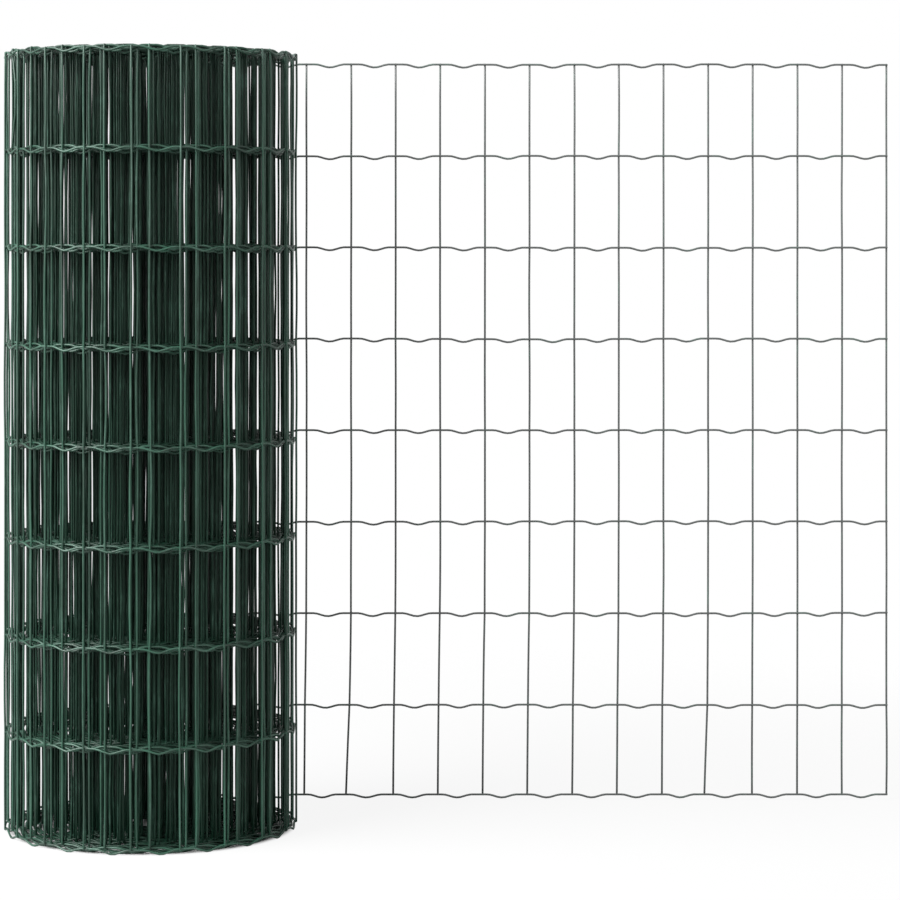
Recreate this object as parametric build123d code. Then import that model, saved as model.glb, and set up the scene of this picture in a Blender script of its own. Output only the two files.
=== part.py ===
from build123d import *
import math
import os

# Roll of coated, welded and crimped wire fencing, standing on its end, in millimetres.
# +Z is up and the origin is on the roll's axis, on the floor. The free end runs off along +X,
# on the tangent at the roll's back, so that its sheet is parallel to the XZ plane.

# Welded mesh
wire_diameter = 2.2  # over the plastic coat
weld_sink = 0.2  # how far two wires sink into each other where they are welded
row_pitch = 100.0  # between line wires
row_count = 8  # openings between the bottom and the top line wire
column_pitch = 48.9  # between uprights, a 50 mm mesh drawn in by its crimps
crimp_depth = 3.3  # how far a line wire dips midway between two uprights
crimp_width = 28.0  # length of line wire that a dip takes

# Wound part
outer_radius = 151.5
eye_radius = 20.0
turn_thickness = 2.93  # what each turn adds to the radius
turns_per_ridge = 5  # nested turns that one ridge of an end stands for
groove_depth = 3.0  # between the ridges of an end
end_land = 2.2  # flat ring at the eye and at the rim of each end

# Free end
free_reach = 789.0  # from the roll's axis to the last upright
seat_clearance = 4.0  # between the roll and the first upright that stands free of it

# Derived sizes
wire_radius = wire_diameter / 2
crimp_angle = math.atan(crimp_depth / (crimp_width / 2))
first_row = crimp_depth + wire_radius / math.cos(crimp_angle)  # the dips stand on the floor
last_row = first_row + row_count * row_pitch
height = last_row + wire_radius
upright_depth = outer_radius - wire_radius
line_depth = upright_depth - wire_diameter + weld_sink


def end_radii():
    """Radii of the ridge tips and groove bottoms of an end, from the eye to the rim, by turns."""
    inner = eye_radius + end_land
    outer = outer_radius - end_land
    ridges = max(1, round((outer - inner) / (turn_thickness * turns_per_ridge)))
    step = (outer - inner) / ridges / 2
    return [inner + step * i for i in range(2 * ridges + 1)]


def end_profile(level, inward):
    """Half section of an end: ridge tips at the level, grooves sunk inward from it."""
    zigzag = [(r, level + inward * groove_depth * (i % 2)) for i, r in enumerate(end_radii())]
    return [(eye_radius, level), *zigzag, (outer_radius, level)]


def wound_roll():
    """The wound turns as one turned solid, with the eye through it and the turns on its ends."""
    bottom = end_profile(0, 1)
    top = end_profile(height, -1)
    outline = Polyline(*bottom, *reversed(top), close=True)
    section = make_face(Plane.XZ * outline)
    return revolve(section, axis=Axis.Z)


def upright_places():
    """X of each upright of the free end, from the last one back to the roll."""
    clear = outer_radius + wire_radius + seat_clearance
    nearest = math.sqrt(clear**2 - upright_depth**2)
    count = math.floor((free_reach - nearest) / column_pitch) + 1
    return [free_reach - column_pitch * i for i in range(count)]


def wire_section(plane):
    """Six-sided section of a wire, with a flat side towards each wire that it crosses."""
    corner, flat, half_flat = wire_radius, wire_radius, wire_radius / 2
    side = [(corner, 0), (half_flat, flat), (-half_flat, flat)]
    return plane * make_face(Polyline(*side, *[(-x, -y) for x, y in side], close=True))


def upright(x):
    """A straight cross wire, flush with the undersides and tops of the outer line wires."""
    plane = Plane(origin=(x, upright_depth, first_row - wire_radius))
    return extrude(wire_section(plane), amount=last_row - first_row + wire_diameter)


def line_wire(z, places):
    """A line wire that runs level across each upright and dips midway between two of them."""
    start = places[-1] - column_pitch
    points = [(start, line_depth, z)]
    for x in reversed(places):
        middle = x - column_pitch / 2
        points.append((middle - crimp_width / 2, line_depth, z))
        points.append((middle, line_depth, z - crimp_depth))
        points.append((middle + crimp_width / 2, line_depth, z))
    points.append((places[0] + wire_radius, line_depth, z))
    plane = Plane(origin=points[0], x_dir=(0, 0, 1), z_dir=(1, 0, 0))
    return sweep(wire_section(plane), path=Polyline(*points), transition=Transition.RIGHT)


def free_end():
    """The flat sheet: uprights and crimped line wires fused where they are welded."""
    places = upright_places()
    uprights = [upright(x) for x in places]
    line_wires = [line_wire(first_row + row_pitch * i, places) for i in range(row_count + 1)]
    sheet = Solid() + [*uprights, *line_wires]
    wound = Cylinder(outer_radius, height, align=(Align.CENTER, Align.CENTER, Align.MIN))
    return sheet - wound


os.makedirs("parts", exist_ok=True)
export_step(wound_roll(), "parts/wound_roll.step")
export_step(free_end(), "parts/free_end.step")
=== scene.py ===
import math

import bpy
import numpy as np
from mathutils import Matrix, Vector


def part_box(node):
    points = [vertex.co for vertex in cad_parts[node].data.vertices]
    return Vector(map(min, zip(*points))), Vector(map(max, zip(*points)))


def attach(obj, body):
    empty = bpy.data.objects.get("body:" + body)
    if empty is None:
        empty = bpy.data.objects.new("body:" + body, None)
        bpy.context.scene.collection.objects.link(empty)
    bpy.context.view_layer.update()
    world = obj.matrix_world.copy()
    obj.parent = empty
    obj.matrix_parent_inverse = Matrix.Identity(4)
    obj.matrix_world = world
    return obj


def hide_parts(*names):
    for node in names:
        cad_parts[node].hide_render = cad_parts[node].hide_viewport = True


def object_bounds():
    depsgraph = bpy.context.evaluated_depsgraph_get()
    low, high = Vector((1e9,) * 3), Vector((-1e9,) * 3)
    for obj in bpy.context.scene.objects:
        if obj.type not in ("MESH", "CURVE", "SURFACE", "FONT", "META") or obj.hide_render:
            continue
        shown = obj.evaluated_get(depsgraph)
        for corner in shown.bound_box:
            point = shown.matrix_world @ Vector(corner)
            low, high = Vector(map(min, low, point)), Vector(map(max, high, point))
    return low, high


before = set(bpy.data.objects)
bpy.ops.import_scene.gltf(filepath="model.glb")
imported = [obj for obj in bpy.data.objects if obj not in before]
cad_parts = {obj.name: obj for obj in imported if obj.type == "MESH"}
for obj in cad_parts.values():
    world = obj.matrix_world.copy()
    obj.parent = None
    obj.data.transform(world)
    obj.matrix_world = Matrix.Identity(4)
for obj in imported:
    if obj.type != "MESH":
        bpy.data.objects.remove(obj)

bl_info = {
    "name": "Welded fence roll",
    "version": (1, 0, 0),
    "blender": (4, 5, 0),
    "location": "3D View > Sidebar > Fence roll",
    "description": "Dresses a roll of coated welded fencing with its real wires, coat and stage",
    "category": "Object",
}

ROLL_NODE = "wound_roll"
SHEET_NODE = "free_end"

_, roll_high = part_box(ROLL_NODE)
_, sheet_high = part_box(SHEET_NODE)
cad_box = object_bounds()


# Sizes and colours that a user would change


class MeshSizes(bpy.types.PropertyGroup):
    """Sizes of the wire and of the welded mesh."""

    wire_diameter: bpy.props.FloatProperty(
        name="Wire diameter", description="Thickness of a wire over its plastic coat",
        default=0.0022, min=0.0005, precision=4, unit="LENGTH")
    weld_sink: bpy.props.FloatProperty(
        name="Weld sink", description="How far two wires sink into each other at a weld",
        default=0.0002, min=0.0, precision=4, unit="LENGTH")
    row_pitch: bpy.props.FloatProperty(
        name="Row pitch", description="Distance between two line wires",
        default=0.1, min=0.01, precision=4, unit="LENGTH")
    row_count: bpy.props.IntProperty(
        name="Rows", description="Openings between the bottom and the top line wire",
        default=8, min=1)
    column_pitch: bpy.props.FloatProperty(
        name="Column pitch", description="Distance between two uprights of the flat sheet",
        default=0.0488, min=0.01, precision=4, unit="LENGTH")
    crimp_depth: bpy.props.FloatProperty(
        name="Crimp depth", description="How far a line wire dips between two uprights",
        default=0.0033, min=0.0, precision=4, unit="LENGTH")
    crimp_length: bpy.props.FloatProperty(
        name="Crimp length", description="Length of line wire that a dip takes",
        default=0.032, min=0.005, precision=4, unit="LENGTH")


class RollSizes(bpy.types.PropertyGroup):
    """Sizes of the wound part."""

    turns: bpy.props.IntProperty(
        name="Turns", description="Turns of mesh between the rim and the eye", default=44, min=2)
    eye_radius: bpy.props.FloatProperty(
        name="Eye radius", description="Radius of the hole through the middle of the roll",
        default=0.02, min=0.005, precision=4, unit="LENGTH")
    first_step: bpy.props.FloatProperty(
        name="First step", description="How far the second turn lies inside the outermost one",
        default=0.0038, min=0.0, precision=4, unit="LENGTH")
    column_pitch: bpy.props.FloatProperty(
        name="Wound pitch", description="Distance between two uprights along a wound line wire",
        default=0.04801, min=0.01, precision=5, unit="LENGTH")
    crimp_depth: bpy.props.FloatProperty(
        name="Wound crimp depth", description="Depth of a dip where the bend has drawn it in",
        default=0.0044, min=0.0, precision=4, unit="LENGTH")
    bulge: bpy.props.FloatProperty(
        name="Bulge", description="How far a wound line wire bows out between two uprights",
        default=0.0012, min=0.0, precision=4, unit="LENGTH")
    wander: bpy.props.FloatProperty(
        name="Wander", description="How far the wound wires stray from their even places",
        default=0.00072, min=0.0, precision=5, unit="LENGTH")
    seed: bpy.props.IntProperty(
        name="Seed", description="Seed of the wires' small irregularities", default=3543)


class CoatFinish(bpy.types.PropertyGroup):
    """Colours and gloss of the plastic coat, with its painted shade and painted reflection."""

    colour: bpy.props.FloatVectorProperty(
        name="Coat", description="Colour of the plastic coat", subtype="COLOR", size=3,
        default=(0.0125, 0.064, 0.038), min=0.0, max=1.0)
    # painted reflection: the open sheet's paler, greyer coat stands in for the white surroundings
    # reflected on its wires
    sheet_sheen_colour: bpy.props.FloatVectorProperty(
        name="Sheet coat", description="Colour of the coat on the open sheet, paler and greyer",
        subtype="COLOR", size=3, default=(0.036, 0.042, 0.040), min=0.0, max=1.0)
    # also the painted shade that darkens the roll's inner turns, besides the random thick coat
    deep_and_shade_colour: bpy.props.FloatVectorProperty(
        name="Deep coat", description="Colour where the coat is thick or fresh", subtype="COLOR",
        size=3, default=(0.004, 0.021, 0.012), min=0.0, max=1.0)
    dusty_colour: bpy.props.FloatVectorProperty(
        name="Rubbed coat", description="Colour where turns have rubbed on each other",
        subtype="COLOR", size=3, default=(0.050, 0.110, 0.082), min=0.0, max=1.0)
    gloss_roughness: bpy.props.FloatProperty(
        name="Roughness", description="Roughness of the clean coat", default=0.40,
        min=0.0, max=1.0, subtype="FACTOR")
    rubbed_roughness: bpy.props.FloatProperty(
        name="Rubbed roughness", description="Roughness of the rubbed coat", default=0.46,
        min=0.0, max=1.0, subtype="FACTOR")


class StageLook(bpy.types.PropertyGroup):
    """Floor and light."""

    floor_colour: bpy.props.FloatVectorProperty(
        name="Floor", description="Colour of the pale floor", subtype="COLOR", size=3,
        default=(0.60, 0.60, 0.60), min=0.0, max=1.0)
    floor_lift: bpy.props.FloatProperty(
        name="Floor lift", description="How far the floor is lifted to the background's white",
        default=0.9, min=0.0, max=1.0, subtype="FACTOR")
    key_power: bpy.props.FloatProperty(
        name="Key light", description="Power of the large lamp at the upper left",
        default=880.0, min=0.0, unit="POWER")
    fill_power: bpy.props.FloatProperty(
        name="Fill light", description="Power of the weaker lamp at the right",
        default=75.0, min=0.0, unit="POWER")
    sky_strength: bpy.props.FloatProperty(
        name="Room light", description="Strength of the even light from all round",
        default=0.02, min=0.0)


# Shader maths


class Value:
    """A node's output that takes part in Python expressions."""

    def __init__(self, shader, socket):
        self.shader = shader
        self.socket = socket

    def _maths(self, operation, first, second):
        return self.shader.node("ShaderNodeMath", {"operation": operation}, {0: first, 1: second})

    def __add__(self, other):
        return self._maths("ADD", self, other)

    def __sub__(self, other):
        return self._maths("SUBTRACT", self, other)

    def __rsub__(self, other):
        return self._maths("SUBTRACT", other, self)

    def __mul__(self, other):
        return self._maths("MULTIPLY", self, other)

    __radd__ = __add__
    __rmul__ = __mul__


# Numbers of a Mix node's sockets for colours, which share their names with those for values
MIX_FACTOR, MIX_FIRST, MIX_SECOND, MIX_COLOUR = 0, 6, 7, 2


class Shader:
    """The node tree of a material or world, emptied and ready to be filled."""

    def __init__(self, owner):
        owner.use_nodes = True
        self.tree = owner.node_tree
        self.tree.nodes.clear()

    def node(self, kind, settings=None, inputs=None, output=0):
        """A node of that type: its settings first, then its sockets. Returns one output."""
        made = self.tree.nodes.new(kind)
        for name, setting in (settings or {}).items():
            if name == "stops":
                self._set_ramp(made.color_ramp, setting)
            else:
                setattr(made, name, setting)
        for name, given in (inputs or {}).items():
            if isinstance(given, Value):
                self.tree.links.new(given.socket, made.inputs[name])
            else:
                made.inputs[name].default_value = given
        return Value(self, made.outputs[output]) if made.outputs else None

    @staticmethod
    def _set_ramp(ramp, stops):
        """Set a new ramp's two stops, each a (place, level) pair."""
        for element, (place, level) in zip(ramp.elements, stops, strict=True):
            element.position = place
            element.color = (level, level, level, 1.0)

    def ramp(self, factor, low, high):
        """A straight rise from 0 to 1 as the factor goes from low to high."""
        return self.node("ShaderNodeValToRGB", {"stops": [(low, 0.0), (high, 1.0)]}, {"Fac": factor})

    def mix_colours(self, factor, first, second):
        """A colour between two others."""
        first, second = (c if isinstance(c, Value) else (*c, 1.0) for c in (first, second))
        given = {MIX_FACTOR: factor, MIX_FIRST: first, MIX_SECOND: second}
        return self.node("ShaderNodeMix", {"data_type": "RGBA"}, given, MIX_COLOUR)

    def noise(self, place, scale, detail=2.0, roughness=0.5):
        """Noise between 0 and 1 at a place."""
        given = {"Vector": place, "Scale": scale, "Detail": detail, "Roughness": roughness}
        return self.node("ShaderNodeTexNoise", {}, given)

    def distance(self, place, point):
        """How far a place is from a point."""
        apart = self.node("ShaderNodeVectorMath", {"operation": "SUBTRACT"}, {0: place, 1: point})
        return self.node("ShaderNodeVectorMath", {"operation": "LENGTH"}, {0: apart}, "Value")

    def rise(self, value, low, high):
        """Smooth step from 0 to 1 as the value goes from low to high."""
        given = {"Value": value, "From Min": low, "From Max": high}
        return self.node("ShaderNodeMapRange", {"interpolation_type": "SMOOTHSTEP"}, given)

    def stretched(self, place, factors):
        """A place scaled by a factor on each axis."""
        return self.node("ShaderNodeVectorMath", {"operation": "MULTIPLY"}, {0: place, 1: factors})


COAT_NAME = "green_plastic_coat"
INNER_SHADE = (0.132, 0.1495)  # from the roll's axis: between them the painted shade of the inner turns, drawn with the deep colour and without gloss, gives way to the outer coat
OPEN_SHEET = (0.156, 0.18)  # from the roll's axis: between them the sheet's glossier coat begins, paler and greyer as a painted reflection of the white surroundings
WOUND_GLOSS = 0.36  # share of the coat's gloss that is left where turns rub on each other
COAT_IOR, GLOSS_IOR = 1.3, 1.6  # of the coat's body and of its glossy skin

# Noise on the coat: scales in waves per metre, and the noise levels between which a change runs
TONE_SCALE, RUB_SCALE, RIPPLE_SCALE, SPECK_SCALE = 55.0, 38.0, 420.0, 900.0
TONE_DRAWN, RIPPLE_DRAWN = (1.0, 1.0, 0.12), (1.0, 1.0, 0.5)  # the noise drawn out along the uprights
THICK_LEVELS, RUBBED_LEVELS = (0.32, 0.68), (0.52, 0.72)
RUB_ROUGHNESS = 0.62  # of the rub noise: how much its finer waves count
WORN, WORN_SPECKS = 0.35, 0.4  # share of the rubbed colour in a rubbed place, and what specks add
SPECK_DULLNESS = 0.12  # how far the specks vary the roughness
RIPPLE_SHARE, SPECK_SHARE = 0.7, 0.3  # of the relief
RELIEF_STRENGTH, RELIEF_DEPTH = 0.22, 0.0004


def coat_material(finish):
    """Green plastic coat: tone from wire to wire, rubbed places, soft gloss, a slight ripple, painted
    shade on the inner turns and a painted reflection on the open sheet.
    """
    material = bpy.data.materials.new(COAT_NAME)
    shader = Shader(material)
    place = shader.node("ShaderNodeTexCoord", output="Object")

    tone = shader.noise(shader.stretched(place, TONE_DRAWN), TONE_SCALE, detail=3.0)
    thick = shader.ramp(tone, *THICK_LEVELS)
    rub = shader.noise(place, RUB_SCALE, detail=6.0, roughness=RUB_ROUGHNESS)
    rubbed = shader.ramp(rub, *RUBBED_LEVELS)
    speck = shader.noise(place, SPECK_SCALE, detail=3.0)

    from_axis = shader.distance(shader.stretched(place, (1.0, 1.0, 0.0)), (0.0, 0.0, 0.0))
    # the inner turns: there the deep colour is painted shade, and the coat has no gloss
    inside = 1.0 - shader.rise(from_axis, *INNER_SHADE)
    open_sheet = shader.rise(from_axis, *OPEN_SHEET)
    gloss_share = (1.0 - inside) * (WOUND_GLOSS + (1.0 - WOUND_GLOSS) * open_sheet)
    thick_or_shaded = thick + inside - thick * inside
    # painted shade on the inner turns joins the random thick coat in the deep colour
    wound_coat_and_shade = shader.mix_colours(thick_or_shaded, finish.colour, finish.deep_and_shade_colour)
    # painted reflection on the open sheet: its paler, greyer colour
    clean = shader.mix_colours(open_sheet, wound_coat_and_shade, finish.sheet_sheen_colour)
    worn_share = rubbed * (WORN + WORN_SPECKS * speck)
    colour = shader.mix_colours(worn_share, clean, finish.dusty_colour)

    gloss, dull = finish.gloss_roughness, finish.rubbed_roughness
    roughness = gloss + rubbed * (dull - gloss) + (speck - 0.5) * SPECK_DULLNESS

    ripple = shader.noise(shader.stretched(place, RIPPLE_DRAWN), RIPPLE_SCALE)
    relief = ripple * RIPPLE_SHARE + speck * SPECK_SHARE
    normal = shader.node("ShaderNodeBump", {}, {
        "Strength": RELIEF_STRENGTH, "Distance": RELIEF_DEPTH, "Height": relief})

    coat = shader.node("ShaderNodeBsdfPrincipled", {}, {
        "Base Color": colour, "Roughness": roughness, "IOR": COAT_IOR, "Normal": normal,
        "Coat Weight": gloss_share, "Coat Roughness": dull, "Coat IOR": GLOSS_IOR})
    shader.node("ShaderNodeOutputMaterial", {}, {"Surface": coat})
    return material


# The winding, seen from above


def blend(x):
    """Smooth step from 0 to 1 as x goes from 0 to 1."""
    x = np.clip(x, 0.0, 1.0)
    return x * x * (3.0 - 2.0 * x)


def drift(chance, count, spacing):
    """Smooth random numbers, one for each upright, that change over that many uprights."""
    knots = chance.standard_normal(count // spacing + 3)
    return np.interp(np.arange(count) / spacing, np.arange(len(knots)), knots)


class Winding:
    """The mesh's way from its free edge along the sheet and round the roll to the eye."""

    STEPS_PER_TURN = 720
    BACK_ANGLE = 90.0  # in degrees from +X, of the roll's back, where turns are counted from
    STEP_SPREAD = 0.056  # share of a turn, each side, over which the mesh steps under the last turn
    SPIRAL_SHARE = 0.25  # share of a step that is spread over the whole turn instead
    SIDE_SLACK = 0.0123  # share by which the roll is wider than it is deep
    HIDDEN_PITCHES = 8  # from the sheet's last upright to the first one on the roll's front
    FRONT_ANGLE = 230.7  # in degrees from +X, of the outermost turn's first upright on the front
    PITCH_SLACK = 0.02  # share by which the pitch of the wound uprights varies
    SLACK_SPACING = 12  # uprights over which that pitch drifts
    EVEN_UPRIGHTS, SLACK_START = 5, 6  # wound uprights at even pitch, and those over which it sets in

    def __init__(self, mesh, roll):
        self.mesh, self.roll = mesh, roll
        self.wire_radius = mesh.wire_diameter / 2
        self.upright_offset = mesh.wire_diameter - mesh.weld_sink
        self.sheet_depth = roll_high.y - self.wire_radius - self.upright_offset
        self.edge = sheet_high.x - self.wire_radius
        self._lay_path()
        self._place_uprights()

    def _drop(self, turn):
        """How far the line wire of a turn lies inside the outermost one."""
        last = self.roll.turns
        room = self.sheet_depth - self.wire_radius - self.roll.eye_radius
        step = (room - self.roll.first_step) / (last - 1)
        drops = np.concatenate([[0.0], self.roll.first_step + step * np.arange(last)])
        nearest = np.floor(turn + 0.5).astype(int)
        share = blend((turn - nearest + self.STEP_SPREAD) / (2 * self.STEP_SPREAD))
        inner = drops[np.clip(nearest, 0, last)]
        outer = drops[np.clip(nearest - 1, 0, last)]
        stepped = outer + (inner - outer) * share
        spiral = np.interp(turn, np.arange(last + 1), drops)
        return stepped + (spiral - stepped) * self.SPIRAL_SHARE

    def _lay_path(self):
        """Centre line of a line wire as a polyline with its outward side and its distances."""
        turn = np.linspace(0.0, self.roll.turns, self.roll.turns * self.STEPS_PER_TURN + 1)
        angle = math.radians(self.BACK_ANGLE) + turn * 2 * math.pi
        radius = (self.sheet_depth - self._drop(turn)) * (1.0 + self.SIDE_SLACK * np.cos(angle)**2)
        wound = np.stack([radius * np.cos(angle), radius * np.sin(angle)], axis=1)
        away = np.stack([np.cos(angle), np.sin(angle)], axis=1)
        free = np.array([[self.edge + self.wire_radius, self.sheet_depth]])
        self.points = np.concatenate([free, wound])
        self.outward = np.concatenate([[[0.0, 1.0]], away])
        self.turn = np.concatenate([[-1.0], turn])
        steps = np.linalg.norm(np.diff(self.points, axis=0), axis=1)
        self.distance = np.concatenate([[0.0], np.cumsum(steps)])

    def _place_uprights(self):
        """Distances of the uprights from the free edge, and how many of them the sheet holds."""
        free_pitch, pitch = self.mesh.column_pitch, self.roll.column_pitch
        self.free_count = int(self.edge // free_pitch) + 1
        free = self.wire_radius + free_pitch * np.arange(self.free_count)
        front_turn = (self.FRONT_ANGLE - self.BACK_ANGLE) / 360.0
        front = np.interp(front_turn, self.turn, self.distance)
        hidden = np.linspace(free[-1], front, self.HIDDEN_PITCHES + 1)[1:]
        count = int((self.distance[-1] - front) / pitch)
        chance = np.random.default_rng(self.roll.seed)
        share = blend((np.arange(count) - self.EVEN_UPRIGHTS) / self.SLACK_START)
        slack = self.PITCH_SLACK * drift(chance, count, self.SLACK_SPACING) * share
        wound = front + np.cumsum(pitch * (1.0 + slack))
        self.uprights = np.concatenate([free, hidden, wound[wound < self.distance[-1]]])

    def dip_depth(self, wound):
        """Depth of a line wire's dips, from the sheet's at 0 to the roll's at 1."""
        flat, drawn = self.mesh.crimp_depth, self.roll.crimp_depth
        return flat + (drawn - flat) * wound

    def at(self, distance, offset):
        """X and Y at a distance along the mesh, offset to its outward side."""
        x = np.interp(distance, self.distance, self.points[:, 0])
        y = np.interp(distance, self.distance, self.points[:, 1])
        away_x = np.interp(distance, self.distance, self.outward[:, 0])
        away_y = np.interp(distance, self.distance, self.outward[:, 1])
        return x + away_x * offset, y + away_y * offset


class Welds:
    """Where each upright is welded to each line wire: along the mesh, outwards and up."""

    SHEET_LEAN = 0.0026  # how far the sheet's lowest weld is pushed towards the roll
    LEAN_START = 5.4  # rows from the top at which the lean begins
    LEAN_FADE = 0.5  # share of the sheet, from its free edge, over which the lean grows
    BENT_UPRIGHTS = {12: 0.0031, 4: 0.0029}  # counted from the free edge: bent at the bottom
    SHEET_LIFT = 0.0018  # how far the sheet's lowest line wire is above its even place
    CORNER_TURN = 1.31  # turns from the roll's back to the upright that is bent at the top
    CORNER_BEND = 0.013  # how far it is bent along the turn
    ENTRY = 3  # last uprights of the sheet, over which it takes on the roll's ways
    DEEP_TURNS = 3  # from the rim, over which the straying grows

    # Straying as shares of the wander: on the sheet, and what the roll and then its depth add
    STRAY_ALONG = (0.25, 0.55, 0.6)
    STRAY_OUTWARDS = (0.1, 0.3, 0.8)
    STRAY_BOWS = (0.25, 0.75, 0.0)

    # Parts of the straying that an upright, a turn, a row or a weld has as a whole
    UPRIGHT_ALONG, ROW_ALONG, WELD_ALONG = 0.8, 0.35, 0.3
    UPRIGHT_OUTWARDS, WELD_OUTWARDS = 0.5, 0.4
    TURN_UP, ROW_UP = 1.4, 0.35
    BOW_ALONG, BOW_OUTWARDS = 0.8, 0.5

    # Uprights over which each slow drift changes
    ROW_ALONG_SPACING, OUTWARDS_SPACING, TURN_UP_SPACING, ROW_UP_SPACING = 9, 5, 14, 4

    def __init__(self, winding):
        self.winding = winding
        self.chance = np.random.default_rng(winding.roll.seed)
        count, rows = len(winding.uprights), winding.mesh.row_count + 1
        self.number = np.arange(count)
        self.wound = blend((self.number - winding.free_count + self.ENTRY) / self.ENTRY)
        self.turn = np.interp(winding.uprights, winding.distance, winding.turn)
        self.deep = blend(self.turn / self.DEEP_TURNS)
        self.along = self._along(count, rows)
        self.outwards = self._outwards(count, rows)
        self.up = self._up(count, rows)
        bow = self._stray(*self.STRAY_BOWS)
        self.bows_along = self.BOW_ALONG * bow * self.chance.standard_normal((rows - 1, count))
        self.bows_outwards = self.BOW_OUTWARDS * bow * self.chance.standard_normal((rows - 1, count))
        corner = np.argmin(np.abs(self.turn - self.CORNER_TURN))
        self.bows_along[-1, corner] += self.CORNER_BEND

    def _stray(self, sheet, roll, depth):
        """How far the wires stray at each upright, from its three shares of the wander."""
        return self.winding.roll.wander * (sheet + roll * self.wound + depth * self.deep)

    def _along(self, count, rows):
        """Distances of the welds along the mesh. The free edge stays straight."""
        amount = self._stray(*self.STRAY_ALONG)
        common = self.UPRIGHT_ALONG * self.chance.standard_normal(count)
        along = self.winding.uprights + amount * common
        steps = [drift(self.chance, count, self.ROW_ALONG_SPACING) for _ in range(rows)]
        rows_off = np.cumsum(steps, axis=0)
        rows_off -= rows_off.mean(axis=0)
        own = self.chance.standard_normal((rows, count))
        along = along + amount * (self.ROW_ALONG * rows_off + self.WELD_ALONG * own)
        along[:, 0] = self.winding.uprights[0]
        return along + self._lean(rows)

    def _lean(self, rows):
        """The lower welds of the sheet stand towards the roll, as it was pulled out."""
        from_top = np.arange(rows - 1, -1, -1)[:, None]
        low = blend((from_top - self.LEAN_START) / (rows - 1 - self.LEAN_START))
        reach = self.winding.free_count * self.LEAN_FADE
        lean = self.SHEET_LEAN * blend(self.number / reach) * (1.0 - self.wound)
        shift = low * lean
        for number, bend in self.BENT_UPRIGHTS.items():
            shift[0, number] += bend
        return shift

    def _outwards(self, count, rows):
        """How far the welds stand outside their turn's even place."""
        slow = drift(self.chance, count, self.OUTWARDS_SPACING)
        turns_off = slow + self.UPRIGHT_OUTWARDS * self.chance.standard_normal(count)
        own = self.WELD_OUTWARDS * self.chance.standard_normal((rows, count))
        return self._stray(*self.STRAY_OUTWARDS) * (turns_off + own)

    def _up(self, count, rows):
        """Heights of the welds, at which the deepest dips of the lowest row reach the floor."""
        winding = self.winding
        turns_off = self.TURN_UP * drift(self.chance, count, self.TURN_UP_SPACING) * self.wound
        own = self.ROW_UP * np.array([drift(self.chance, count, self.ROW_UP_SPACING) for _ in range(rows)])
        level = winding.dip_depth(self.wound) + winding.wire_radius
        even = np.arange(rows)[:, None] * winding.mesh.row_pitch + level
        up = even + winding.roll.wander * (turns_off + own)
        up[0] += self.SHEET_LIFT * (1.0 - self.wound)
        return up


# Bars

BAR_SIDES = 8
SIDE_ANGLES = np.arange(BAR_SIDES) * 2 * math.pi / BAR_SIDES
TIP_ANGLES = (math.radians(24), math.radians(56))  # of the rings that round a bar's tip


def unit(vectors):
    """The same vectors, one unit long."""
    return vectors / np.linalg.norm(vectors, axis=-1, keepdims=True)


def round_tips(path, radius):
    """The path with more rings at both tips, and the radius of the bar at each ring."""
    rises = radius * (1.0 - np.cos(TIP_ANGLES))[None, :, None]
    start, end = unit(path[:, 1:2] - path[:, :1]), unit(path[:, -2:-1] - path[:, -1:])
    head, tail = path[:, :1] + start * rises, (path[:, -1:] + end * rises)[:, ::-1]
    body = path.copy()
    body[:, :1] += start * radius
    body[:, -1:] += end * radius
    reach = np.full(path.shape[1], radius)
    narrow = radius * np.sin(TIP_ANGLES)
    return np.concatenate([head, body, tail], axis=1), np.concatenate([narrow, reach, narrow[::-1]])


def ring_faces(bodies, rings):
    """Faces of closed bodies that are each a row of rings: between the rings and at both ends."""
    number = np.arange(bodies * rings * BAR_SIDES).reshape(bodies, rings, BAR_SIDES)
    here, after = number[:, :-1], number[:, 1:]
    corners = [here, np.roll(here, -1, axis=2), np.roll(after, -1, axis=2), after]
    quads = np.stack(corners, axis=3).reshape(-1, 4)
    ends = np.concatenate([number[:, 0, ::-1], number[:, -1]])
    return quads, ends


def bar(path, radius, reference):
    """Round bars with round tips along paths of shape (bars, points, 3): their vertices and faces."""
    path, reach = round_tips(path, radius)
    run = unit(np.gradient(path, axis=1))
    side = unit(np.cross(reference, run))
    lift = np.cross(run, side)
    round_side = side[:, :, None, :] * np.cos(SIDE_ANGLES)[None, None, :, None]
    round_lift = lift[:, :, None, :] * np.sin(SIDE_ANGLES)[None, None, :, None]
    vertices = path[:, :, None, :] + (round_side + round_lift) * reach[None, :, None, None]
    return vertices.reshape(-1, 3), *ring_faces(*path.shape[:2])


def make_piece(name, shape, material):
    """One mesh object of those faces. It is part of the roll and stands for both CAD nodes."""
    vertices, *face_groups = shape
    corners = np.concatenate([faces.ravel() for faces in face_groups])
    sizes = np.concatenate([np.full(len(faces), faces.shape[1]) for faces in face_groups])
    mesh = bpy.data.meshes.new(name)
    mesh.vertices.add(len(vertices))
    mesh.vertices.foreach_set("co", vertices.ravel())
    mesh.loops.add(len(corners))
    mesh.loops.foreach_set("vertex_index", corners)
    mesh.polygons.add(len(sizes))
    mesh.polygons.foreach_set("loop_start", np.cumsum(sizes) - sizes)
    mesh.polygons.foreach_set("use_smooth", np.full(len(sizes), True))
    mesh.materials.append(material)
    mesh.update(calc_edges=True)
    if mesh.validate():
        raise RuntimeError(f"{name} came out with broken faces")

    piece = bpy.data.objects.new(name, mesh)
    bpy.context.scene.collection.objects.link(piece)
    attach(piece, "root")
    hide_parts(ROLL_NODE, SHEET_NODE)
    return piece


def shared_material(context):
    """The coat's material, made once and used by every piece."""
    made = bpy.data.materials.get(COAT_NAME)
    return made or coat_material(context.scene.fence_coat)


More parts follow.
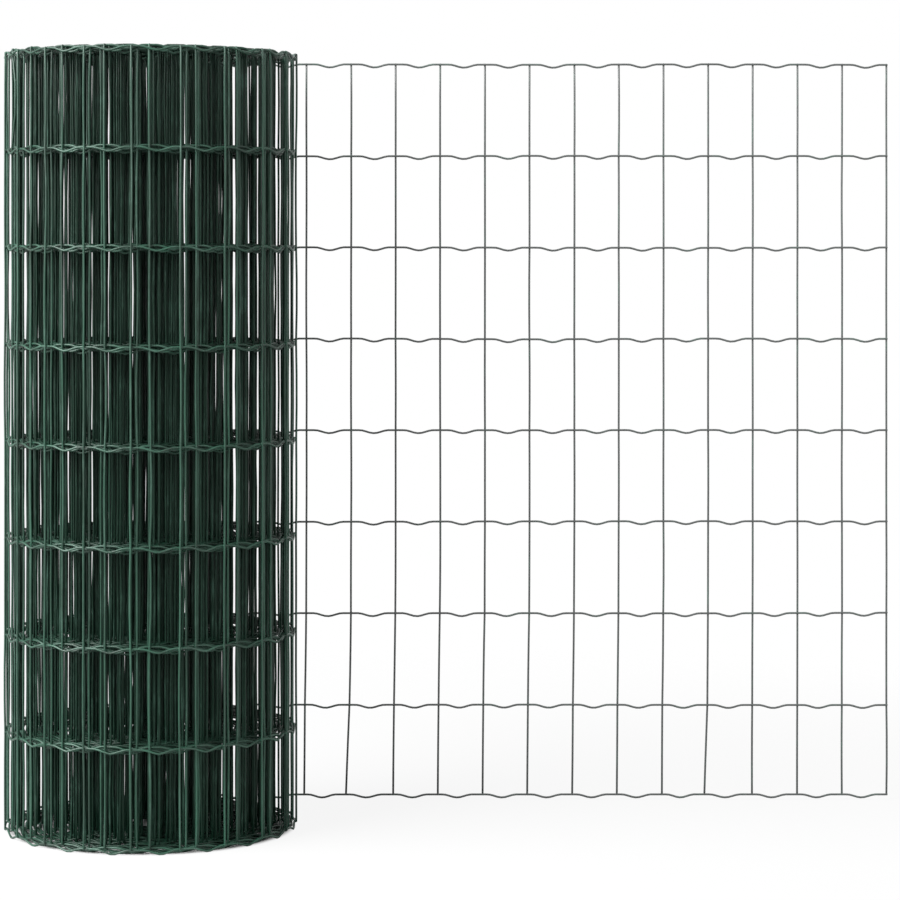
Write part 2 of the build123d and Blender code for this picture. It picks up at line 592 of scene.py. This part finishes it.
SHOWN_TURNS = 3  # outer turns that get more rings on each wire and a fillet at each weld
SHOWN_STEPS, HIDDEN_STEPS = 12, 6  # rings of a line wire in one opening
SHOWN_SPANS, HIDDEN_SPANS = 3, 2  # rings of an upright from one weld to the next
TOP_CRIMP_PLACE = 0.475  # of the top row's dips: share of the opening, from its right upright
CRIMP_SHIFT = 0.095  # share of the opening by which the bottom row's dips are further left
WOUND_CRIMP_SHIFT = 0.05  # share by which the wound turns' dips are nearer to the next upright
SHARP_DIPS = 0.7  # how far the dips of the wound turns are drawn from a wave to a sharp fold


def inner_start(welds):
    """Number of the first upright past the turns that show."""
    return int(np.searchsorted(welds.turn, SHOWN_TURNS))


def crimp_place(welds, row):
    """Where the dips of a row are, as a share of the opening. The lowest rows shift the most."""
    down = 1.0 - row / welds.winding.mesh.row_count
    return TOP_CRIMP_PLACE + CRIMP_SHIFT * down**3


def line_wire_path(welds, row):
    """Path of a line wire from the free edge to the eye, with its dips and its bowing."""
    winding = welds.winding
    mesh, roll = winding.mesh, winding.roll
    last, shown = len(welds.number) - 1, inner_start(welds)
    steps = np.where(np.arange(last) < shown, SHOWN_STEPS, HIDDEN_STEPS)
    opening = np.repeat(np.arange(last), steps)
    first = np.repeat(np.cumsum(steps) - steps, steps)
    share = (np.arange(len(opening)) - first) / steps[opening]
    opening, share = np.append(opening, last - 1), np.append(share, 1.0)

    def between(values):
        return values[opening] + (values[opening + 1] - values[opening]) * share

    wound = between(welds.wound)
    depth = winding.dip_depth(wound)
    place = crimp_place(welds, row) + WOUND_CRIMP_SHIFT * wound
    from_dip = np.abs(share - place) * mesh.column_pitch / (mesh.crimp_length / 2)
    from_dip = np.minimum(from_dip, 1.0)
    soft_dip, sharp_dip = 0.5 + 0.5 * np.cos(math.pi * from_dip), 1.0 - from_dip
    dip = soft_dip + (sharp_dip - soft_dip) * SHARP_DIPS * wound
    bow = 0.5 - 0.5 * np.cos(2 * math.pi * share)
    outwards = between(welds.outwards[row]) + roll.bulge * bow * wound
    x, y = winding.at(between(welds.along[row]), outwards)
    z = np.maximum(between(welds.up[row]) - depth * dip, winding.wire_radius)
    path = np.stack([x, y, z], axis=1)
    path[0] += unit(path[0] - path[1]) * winding.wire_radius
    return path[None]


def upright_paths(welds, first, last, spans):
    """Paths of the uprights from one number to another, bowed a little between their welds."""
    winding = welds.winding
    along, outwards, up = (part[:, first:last] for part in (welds.along, welds.outwards, welds.up))
    shares = np.arange(spans) / spans
    bow = np.sin(math.pi * shares)

    def along_upright(values, bows):
        steps = values[:-1, None] + (values[1:] - values[:-1])[:, None] * shares[None, :, None]
        steps = steps + bows[:, None, first:last] * bow[None, :, None]
        return np.concatenate([steps.reshape(-1, last - first), values[-1:]])

    offset = along_upright(outwards, welds.bows_outwards) + winding.upright_offset
    x, y = winding.at(along_upright(along, welds.bows_along), offset)
    z = along_upright(up, np.zeros_like(welds.bows_along))
    z[0] -= winding.wire_radius
    z[-1] += winding.wire_radius
    return np.stack([x, y, z], axis=2).transpose(1, 0, 2)


FILLET_REACH = 1.3  # of a fillet across a weld, in radii of the wire
FILLET_DEPTH = 1.55  # the same through the weld
FILLET_RINGS = np.radians(162 - 36 * np.arange(5))  # of a fillet, from its inner to its outer end


def weld_fillets(welds):
    """The coat's thickening at each weld of the sheet and of the turns that show."""
    winding, shown = welds.winding, inner_start(welds)
    along, outwards, up = (part[:, :shown].ravel() for part in (welds.along, welds.outwards, welds.up))
    x, y = winding.at(along, outwards + winding.upright_offset / 2)
    away_x, away_y = np.subtract(winding.at(along, outwards + 1.0), winding.at(along, outwards))
    away, up_axis = np.stack([away_x, away_y, 0 * x], axis=1), np.array([0.0, 0.0, 1.0])
    side = np.cross(up_axis, away)
    centre = np.stack([x, y, up], axis=1)

    depth = winding.wire_radius * FILLET_DEPTH * np.cos(FILLET_RINGS)
    wide = winding.wire_radius * FILLET_REACH * np.sin(FILLET_RINGS)
    round_side = side[:, None] * np.cos(SIDE_ANGLES)[None, :, None]
    around = round_side + up_axis * np.sin(SIDE_ANGLES)[None, :, None]
    rings = away[:, None, None] * depth[None, :, None, None]
    rings = rings + around[:, None] * wide[None, :, None, None]
    vertices = centre[:, None, None] + rings
    return vertices.reshape(-1, 3), *ring_faces(len(centre), len(FILLET_RINGS))


# Operators


def fence_welds(context):
    """The welds of the fence with the sizes that are set."""
    scene = context.scene
    return Welds(Winding(scene.fence_mesh, scene.fence_roll))


class FENCE_OT_line_wires(bpy.types.Operator):
    """Make the crimped line wires, each one wire from the free edge to the eye."""

    bl_idname = "fence.line_wires"
    bl_label = "Line wires"

    def execute(self, context):
        welds = fence_welds(context)
        radius, up = welds.winding.wire_radius, (0.0, 0.0, 1.0)
        for row in range(context.scene.fence_mesh.row_count + 1):
            shape = bar(line_wire_path(welds, row), radius, up)
            make_piece(f"line_wire_{row + 1}", shape, shared_material(context))
        return {"FINISHED"}


class FENCE_OT_uprights(bpy.types.Operator):
    """Make the straight uprights of the sheet and of the roll."""

    bl_idname = "fence.uprights"
    bl_label = "Uprights"

    def execute(self, context):
        welds = fence_welds(context)
        free, inner, last = welds.winding.free_count, inner_start(welds), len(welds.number)
        radius, across = welds.winding.wire_radius, (1.0, 0.0, 0.0)
        groups = {
            "sheet_uprights": (0, free, SHOWN_SPANS),
            "outer_turn_uprights": (free, inner, SHOWN_SPANS),
            "inner_turn_uprights": (inner, last, HIDDEN_SPANS),
        }
        for name, span in groups.items():
            make_piece(name, bar(upright_paths(welds, *span), radius, across), shared_material(context))
        return {"FINISHED"}


class FENCE_OT_weld_fillets(bpy.types.Operator):
    """Make the coat's small fillets at the welds."""

    bl_idname = "fence.weld_fillets"
    bl_label = "Weld fillets"

    def execute(self, context):
        make_piece("weld_fillets", weld_fillets(fence_welds(context)), shared_material(context))
        return {"FINISHED"}


class FENCE_OT_stage(bpy.types.Operator):
    """Make the floor, the room light, the lamps and the camera."""

    bl_idname = "fence.stage"
    bl_label = "Stage"

    def execute(self, context):
        look = context.scene.fence_stage
        context.scene.view_settings.view_transform = "Standard"
        make_floor(look)
        make_room_light(look)
        make_lamp("key_light", look.key_power, KEY_SIZE, KEY_PLACE)
        make_lamp("fill_light", look.fill_power, FILL_SIZE, FILL_PLACE)
        make_camera()
        return {"FINISHED"}


# Stage

FLOOR_RADIUS = 4.0
FLOOR_SIDES = 96
FLOOR_CLEAR = (0.15, 0.36)  # shares of its radius between which the floor fades to the background
ROLL_SHADE = (0.14, 0.152)  # from the roll's axis: between them the floor's lift to white sets in
KEY_SIZE, KEY_PLACE = 4.4, (-3.4, -2.0, 3.2)
FILL_SIZE, FILL_PLACE = 2.2, (2.8, -3.4, 2.6)
LIT_POINT = (0.1, 0.0, 0.45)  # that both lamps face
PHOTO_SIDE = 900  # pixels of the photograph's frame
FOCAL_PIXELS = 2984.0
SENSOR_WIDTH = 36.0
HORIZON_Y = 245.0  # pixel row of the horizon
CAMERA_PLACE = (0.3115, -3.115, 0.607)
WHITE = (1.0, 1.0, 1.0, 1.0)


def make_floor(look):
    """A round pale floor that fades into the white background."""
    angles = [2 * math.pi * i / FLOOR_SIDES for i in range(FLOOR_SIDES)]
    middle = (cad_box[0] + cad_box[1]) / 2
    rim = [(middle.x + FLOOR_RADIUS * math.cos(a), FLOOR_RADIUS * math.sin(a), 0.0) for a in angles]
    mesh = bpy.data.meshes.new("floor")
    mesh.from_pydata(rim, [], [list(range(FLOOR_SIDES))])
    floor = bpy.data.objects.new("floor", mesh)
    bpy.context.scene.collection.objects.link(floor)

    material = bpy.data.materials.new("pale_floor")
    shader = Shader(material)
    place = shader.node("ShaderNodeTexCoord", output="Object")
    near, far = (share * FLOOR_RADIUS for share in FLOOR_CLEAR)
    fade = shader.rise(shader.distance(place, (middle.x, 0.0, 0.0)), near, far)
    open_floor = shader.rise(shader.distance(place, (0.0, 0.0, 0.0)), *ROLL_SHADE)
    pale = shader.node("ShaderNodeBsdfDiffuse", {}, {"Color": (*look.floor_colour, 1.0)})
    white = shader.node("ShaderNodeEmission", {}, {"Color": WHITE, "Strength": 1.0})
    to_camera = shader.node("ShaderNodeLightPath", output="Is Camera Ray")
    lift = to_camera * open_floor * look.floor_lift
    lifted = shader.node("ShaderNodeMixShader", {}, {0: lift, 1: pale, 2: white})
    clear = shader.node("ShaderNodeBsdfTransparent")
    surface = shader.node("ShaderNodeMixShader", {}, {0: fade, 1: lifted, 2: clear})
    shader.node("ShaderNodeOutputMaterial", {}, {"Surface": surface})
    mesh.materials.append(material)


def make_room_light(look):
    """A white background to the eye and in reflections, and a weaker even light."""
    world = bpy.data.worlds.new("room")
    bpy.context.scene.world = world
    shader = Shader(world)
    camera, glossy, through = (
        shader.node("ShaderNodeLightPath", output=name)
        for name in ("Is Camera Ray", "Is Glossy Ray", "Is Transmission Ray"))
    seen = shader.node("ShaderNodeClamp", {}, {"Value": camera + glossy + through})
    strength = look.sky_strength + seen * (1.0 - look.sky_strength)
    light = shader.node("ShaderNodeBackground", {}, {"Color": WHITE, "Strength": strength})
    shader.node("ShaderNodeOutputWorld", {}, {"Surface": light})


def make_lamp(name, power, size, place):
    """A square soft lamp that faces the object."""
    data = bpy.data.lights.new(name, "AREA")
    data.energy = power
    data.size = size
    lamp = bpy.data.objects.new(name, data)
    lamp.location = place
    lamp.rotation_euler = (Vector(LIT_POINT) - Vector(place)).to_track_quat("-Z", "Y").to_euler()
    bpy.context.scene.collection.objects.link(lamp)


def make_camera():
    """The photograph's camera: a long lens that looks level, so that uprights stay parallel."""
    data = bpy.data.cameras.new("photo_camera")
    data.sensor_width = SENSOR_WIDTH
    data.lens = FOCAL_PIXELS / PHOTO_SIDE * SENSOR_WIDTH
    data.shift_y = HORIZON_Y / PHOTO_SIDE - 0.5
    camera = bpy.data.objects.new("photo_camera", data)
    camera.location = CAMERA_PLACE
    camera.rotation_euler = (math.pi / 2, 0.0, 0.0)
    bpy.context.scene.collection.objects.link(camera)
    bpy.context.scene.camera = camera


class FENCE_PT_panel(bpy.types.Panel):
    """The fence roll's sizes, colours and steps."""

    bl_idname = "FENCE_PT_panel"
    bl_label = "Fence roll"
    bl_space_type = "VIEW_3D"
    bl_region_type = "UI"
    bl_category = "Fence roll"

    def draw(self, context):
        scene = context.scene
        for group in (scene.fence_mesh, scene.fence_roll, scene.fence_coat, scene.fence_stage):
            box = self.layout.box()
            for name in group.__annotations__:
                box.prop(group, name)
        for step in STEPS:
            self.layout.operator(step.bl_idname)


GROUPS = {
    "fence_mesh": MeshSizes,
    "fence_roll": RollSizes,
    "fence_coat": CoatFinish,
    "fence_stage": StageLook,
}
STEPS = (FENCE_OT_line_wires, FENCE_OT_uprights, FENCE_OT_weld_fillets, FENCE_OT_stage)


def register():
    for kind in (*GROUPS.values(), *STEPS, FENCE_PT_panel):
        bpy.utils.register_class(kind)
    for name, group in GROUPS.items():
        setattr(bpy.types.Scene, name, bpy.props.PointerProperty(type=group))


def unregister():
    for name in GROUPS:
        delattr(bpy.types.Scene, name)
    for kind in reversed((*GROUPS.values(), *STEPS, FENCE_PT_panel)):
        bpy.utils.unregister_class(kind)


def main():
    register()
    bpy.ops.fence.line_wires()
    bpy.ops.fence.uprights()
    bpy.ops.fence.weld_fillets()
    bpy.ops.fence.stage()


if __name__ == "__main__":
    main()
